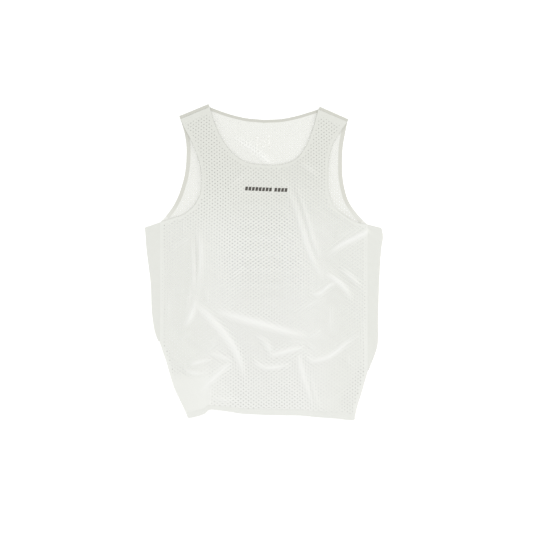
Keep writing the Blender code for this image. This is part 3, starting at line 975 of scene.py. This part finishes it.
def perforated_mesh(name, white=WHITE, high=HIGHLIGHT_AND_HEM_WHITE, below=SHADE, even=False, printed=False):
    """The material of the front and back panels. The outside turns from white at the hem to
    pale grey at the straps. The back's inside is even, and the whiter of the two, but painted
    grey under the front as shade, where little light gets in. High is the painted highlight
    tone of the crests. Below is the tone that the show-through mask brings: on the front the
    back's print showing through, on the back's inside the painted shade under the front."""
    board = Board(name)
    x, y, uv = cloth_place(board)
    openness, crest_highlight_mask = board.attribute("holes"), board.attribute("crest")
    show_through_and_painted_shade = board.attribute("ghost")
    gap = hole_distance(x, y)
    radius = HOLE_RADIUS * openness
    solid = board.step(gap, radius - 0.12, radius + 0.12)
    rim = 1 - board.step(gap, radius, radius + 0.9)
    mottle = board.noise(uv, 60.0, 3.0)
    # Painted highlight: the crests are lighter than the flat cloth.
    tone = board.blend(crest_highlight_mask, white, high)
    if not even:
        side = board.step(x.of("ABSOLUTE"), 80.0, 170.0)
        low = 1 - board.step(y, -330.0, 90.0)
        belly = (1 - side) * (1 - board.step(y, 30.0, 130.0))
        tone = board.blend(low * (0.45 - side * 0.2) + belly * 0.35, tone, HIGHLIGHT_AND_HEM_WHITE)
        tone = board.blend(board.step(y, 60.0, 230.0) * 0.36, tone, SHADE)
    # Painted shade round the rim of each hole.
    tone = board.blend(rim * openness * 0.5, tone, SHADE)
    tone = board.blend(mottle * 0.06, tone, SHADE)
    # On the front, the back's print showing through; on the back's inside, painted shade where the front
    # lies over it.
    tone = board.blend(show_through_and_painted_shade, tone, below)
    if printed:
        tone = board.blend(back_print_mask(board, x, y), tone, BACK_INK)
    normal = knit_bump(board, x, y, 0.5, rim * -1.5)
    return board.finish(
        Base_Color=tone, Alpha=solid, Roughness=0.62 - crest_highlight_mask * 0.12, Normal=normal,
        Sheen_Weight=0.25, Sheen_Roughness=0.4, Specular_IOR_Level=0.35,
    )


def back_print_mask(board, x, y):
    """Tall blocks up the middle of the back's outside, as on the show-through."""
    along = ((y - BLOCK_FOOT) / BLOCK_PITCH).of("FRACT") * BLOCK_PITCH - BLOCK_PITCH / 2
    block = 1 - board.step(along.of("ABSOLUTE"), 11.8, 12.6)
    side = (x - BLOCK_X).of("ABSOLUTE")
    side = 1 - board.step(side, BLOCK_HALF_WIDTH - 0.4, BLOCK_HALF_WIDTH + 0.4)
    ends = board.step(y, BLOCK_FOOT, BLOCK_FOOT + 0.5) * (1 - board.step(y, 147.5, 148.0))
    return block * side * ends


def plain_knit(name, colour, strength=0.4):
    """The material of the side strips and the hem band."""
    board = Board(name)
    x, y, uv = cloth_place(board)
    mottle = board.noise(uv, 90.0, 3.0)
    tone = board.blend(mottle * 0.15, colour, SHADE)
    return board.finish(
        Base_Color=tone, Roughness=0.6, Normal=knit_bump(board, x, y, strength),
        Sheen_Weight=0.25, Sheen_Roughness=0.4, Specular_IOR_Level=0.35,
    )


def bonded_tape(name, colour):
    """A smooth film with a faint grain. Towards the underarm it's thinner, and whiter."""
    board = Board(name)
    _, y, uv = cloth_place(board)
    grain = board.noise(uv, 700.0, 2.0)
    tone = board.blend(grain * 0.3, colour, TAPE_GRAIN)
    tone = board.blend((1 - board.step(y, 90.0, 135.0)) * 0.6, tone, WHITE)
    bump = board.add("ShaderNodeBump", {}, {"Strength": 0.3, "Distance": 0.0001, "Height": grain})
    return board.finish(Base_Color=tone, Roughness=0.7, Normal=bump, Specular_IOR_Level=0.3)


def ink(name, colour, grain, worn):
    """Print ink that has cracked a little over the knit. Worn is how much of it has gone."""
    board = Board(name)
    x, y, uv = cloth_place(board)
    wear = board.noise(uv, grain, 2.0)
    tone = board.blend(board.step(wear, 0.42, 0.62) * worn, colour, SHADE)
    return board.finish(Base_Color=tone, Roughness=0.55, Normal=knit_bump(board, x, y, 0.3))


mesh_finish = perforated_mesh("perforated_mesh")
# The back's inside: a painted highlight on its crest, and painted shade where the front lies over it.
inside_finish = perforated_mesh("perforated_mesh_inside", INSIDE_WHITE, INSIDE_CREST_HIGHLIGHT, PAINTED_SHADE_UNDER_FRONT, even=True)
printed_finish = perforated_mesh("perforated_mesh_printed", printed=True)
knit_finish = plain_knit("plain_knit", (0.79, 0.80, 0.755, 1))
hem_finish = plain_knit("plain_knit_hem", (0.83, 0.84, 0.80, 1))
tape_finish = bonded_tape("bonded_tape", (0.66, 0.66, 0.60, 1))
arm_finish = bonded_tape("bonded_tape_armhole", (0.72, 0.72, 0.66, 1))
finishes = {
    front: mesh_finish, back: inside_finish, band: hem_finish,
    chest_print: ink("dark_ink", (0.04, 0.032, 0.024, 1), 900.0, 0.08),
    neck_print: ink("pale_ink", (0.97, 0.97, 0.93, 1), 300.0, 0.6),
}
finishes.update({piece: knit_finish for piece in strips})
finishes.update({piece: tape_finish for piece in shoulders + tapes[2:]})
finishes.update({piece: arm_finish for piece in tapes[:2]})
finishes.update({piece: mesh_finish for piece in tucks})
for piece, finish in finishes.items():
    piece.data.materials.append(finish)
back.data.materials.append(printed_finish)
back.modifiers["wall"].material_offset = 1
print(len(finishes), "pieces have a finish")

# %% [markdown]
# ## Light, floor and camera
#
# White cloth on white needs little light from above and more from low down: a low light
# catches one flank of each crease and leaves the flat cloth even. The camera looks straight
# down through a long lens, so the outline isn't stretched at its edges.

# %% Stage
scene = bpy.context.scene
scene.view_settings.view_transform = "Standard"
world = bpy.data.worlds.new("studio")
scene.world = world
world.use_nodes = True
world.node_tree.nodes["Background"].inputs["Color"].default_value = (1, 1, 1, 1)
world.node_tree.nodes["Background"].inputs["Strength"].default_value = 0.70

floor_mesh = bpy.data.meshes.new("floor")
corners = [(-4, -4, -0.0004), (4, -4, -0.0004), (4, 4, -0.0004), (-4, 4, -0.0004)]
floor_mesh.from_pydata(corners, [], [(0, 1, 2, 3)])
floor = bpy.data.objects.new("floor", floor_mesh)
scene.collection.objects.link(floor)
floor_board = Board("white_floor")
floor_mesh.materials.append(floor_board.finish(
    Base_Color=(0.95, 0.95, 0.95, 1), Roughness=0.9,
    Emission_Color=(1, 1, 1, 1), Emission_Strength=0.25,
))


def soft_light(name, place, size, power):
    """A square area light that looks at the garment."""
    data = bpy.data.lights.new(name, "AREA")
    data.size, data.energy = size, power
    light = bpy.data.objects.new(name, data)
    light.location = place
    away = np.array(place) / np.linalg.norm(place)
    light.rotation_euler = (math.acos(away[2]), 0, math.atan2(away[1], away[0]) + math.pi / 2)
    scene.collection.objects.link(light)


soft_light("overhead", (0.1, -0.3, 2.6), 2.2, 20.5)
soft_light("low_right", (2.0, 1.1, 0.55), 0.9, 14)
soft_light("low_left", (-2.0, -0.9, 0.5), 0.9, 7)

VIEW_WIDTH, DISTANCE = 1.125, 3.4
camera_data = bpy.data.cameras.new("camera")
camera_data.sensor_width = 36
camera_data.lens = camera_data.sensor_width * DISTANCE / VIEW_WIDTH
camera = bpy.data.objects.new("camera", camera_data)
camera.location = (0.0055, -0.0101, DISTANCE)
scene.collection.objects.link(camera)
scene.camera = camera
print("lens, mm:", round(camera_data.lens, 1))

# %% [markdown]
# ## What each piece stands for
#
# Each piece rides on the only body and takes the place of its CAD node.
#
# Each cloth piece's cut is worked out from the flat pattern: a panel's cut is its outline in
# the plan, and a turned piece's is its runs laid out flat.


def outline_cut(grids):
    """A flat piece's cut: its width, its length and its area, from its plan alone. The area of
    each face is half the cross product of its diagonals."""
    points = np.vstack([grid.reshape(-1, 2) for grid in grids])
    width, length = points.max(axis=0) - points.min(axis=0)
    area = 0
    for grid in grids:
        one = grid[1:, 1:] - grid[:-1, :-1]
        other = grid[1:, :-1] - grid[:-1, 1:]
        area += abs(one[..., 0] * other[..., 1] - one[..., 1] * other[..., 0]).sum() / 2
    return width, length, area


def strip_cut(fold, reach):
    """The cut of a strip turned over along a fold: twice its reach wide, and as long as the
    fold."""
    step = np.linalg.norm(np.gradient(fold, axis=0), axis=1)
    return 2 * reach.max(), step.sum(), (2 * reach * step).sum()


def band_cut(halves):
    """The hem band's cut: as long as the hem and as wide as the band, both measured in plan."""
    rows = np.hstack([half[: FINE + 1] for half in halves])
    length = np.linalg.norm(np.diff(rows[0], axis=0), axis=1).sum()
    height = np.linalg.norm(rows[-1] - rows[0], axis=1).mean()
    return length, height, length * height


def stand_for(piece, node):
    """The piece rides on the garment's body and takes the place of a CAD node."""
    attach(piece, root)
    if node:
        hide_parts(node)


PLACES = (
    (front, "front_panel", "perforated_mesh"), (back, "back_panel", "perforated_mesh"),
    (band, "hem_band", "plain_knit"),
    (strips[0], "side_strip_left", "plain_knit"), (strips[1], "side_strip_right", "plain_knit"),
    (shoulders[0], "shoulder_tape_left", "bonded_tape"),
    (shoulders[1], "shoulder_tape_right", "bonded_tape"),
    (tapes[0], "armhole_tape_left", "bonded_tape"), (tapes[1], "armhole_tape_right", "bonded_tape"),
    (tapes[2], "neck_tape", "bonded_tape"),
    (tucks[0], "tucked_corner_left", "perforated_mesh"),
    (tucks[1], "tucked_corner_right", "perforated_mesh"),
    (chest_print, None, "perforated_mesh"), (neck_print, None, "perforated_mesh"),
)
for piece, node, slot in PLACES:
    stand_for(piece, node)


def lay(piece, cut):
    """Prints a piece's cut: width, length and area in millimetres."""
    width, length, area = cut
    width * MM
    length * MM
    area * MM**2
    print(piece.name, "cut", round(width), "x", round(length), "mm,", round(area / 100), "cm2")


front_cut = outline_cut([half[FINE:] for half in front_halves] + front_straps)
lay(front, front_cut)
lay(back, outline_cut(back_grids))
lay(band, band_cut(front_halves))
for piece, turned in zip(strips + shoulders, strip_folds + shoulder_folds):
    lay(piece, strip_cut(*turned))
lay(tuck_left, cut_tuck_left)
lay(tuck_right, cut_tuck_right)
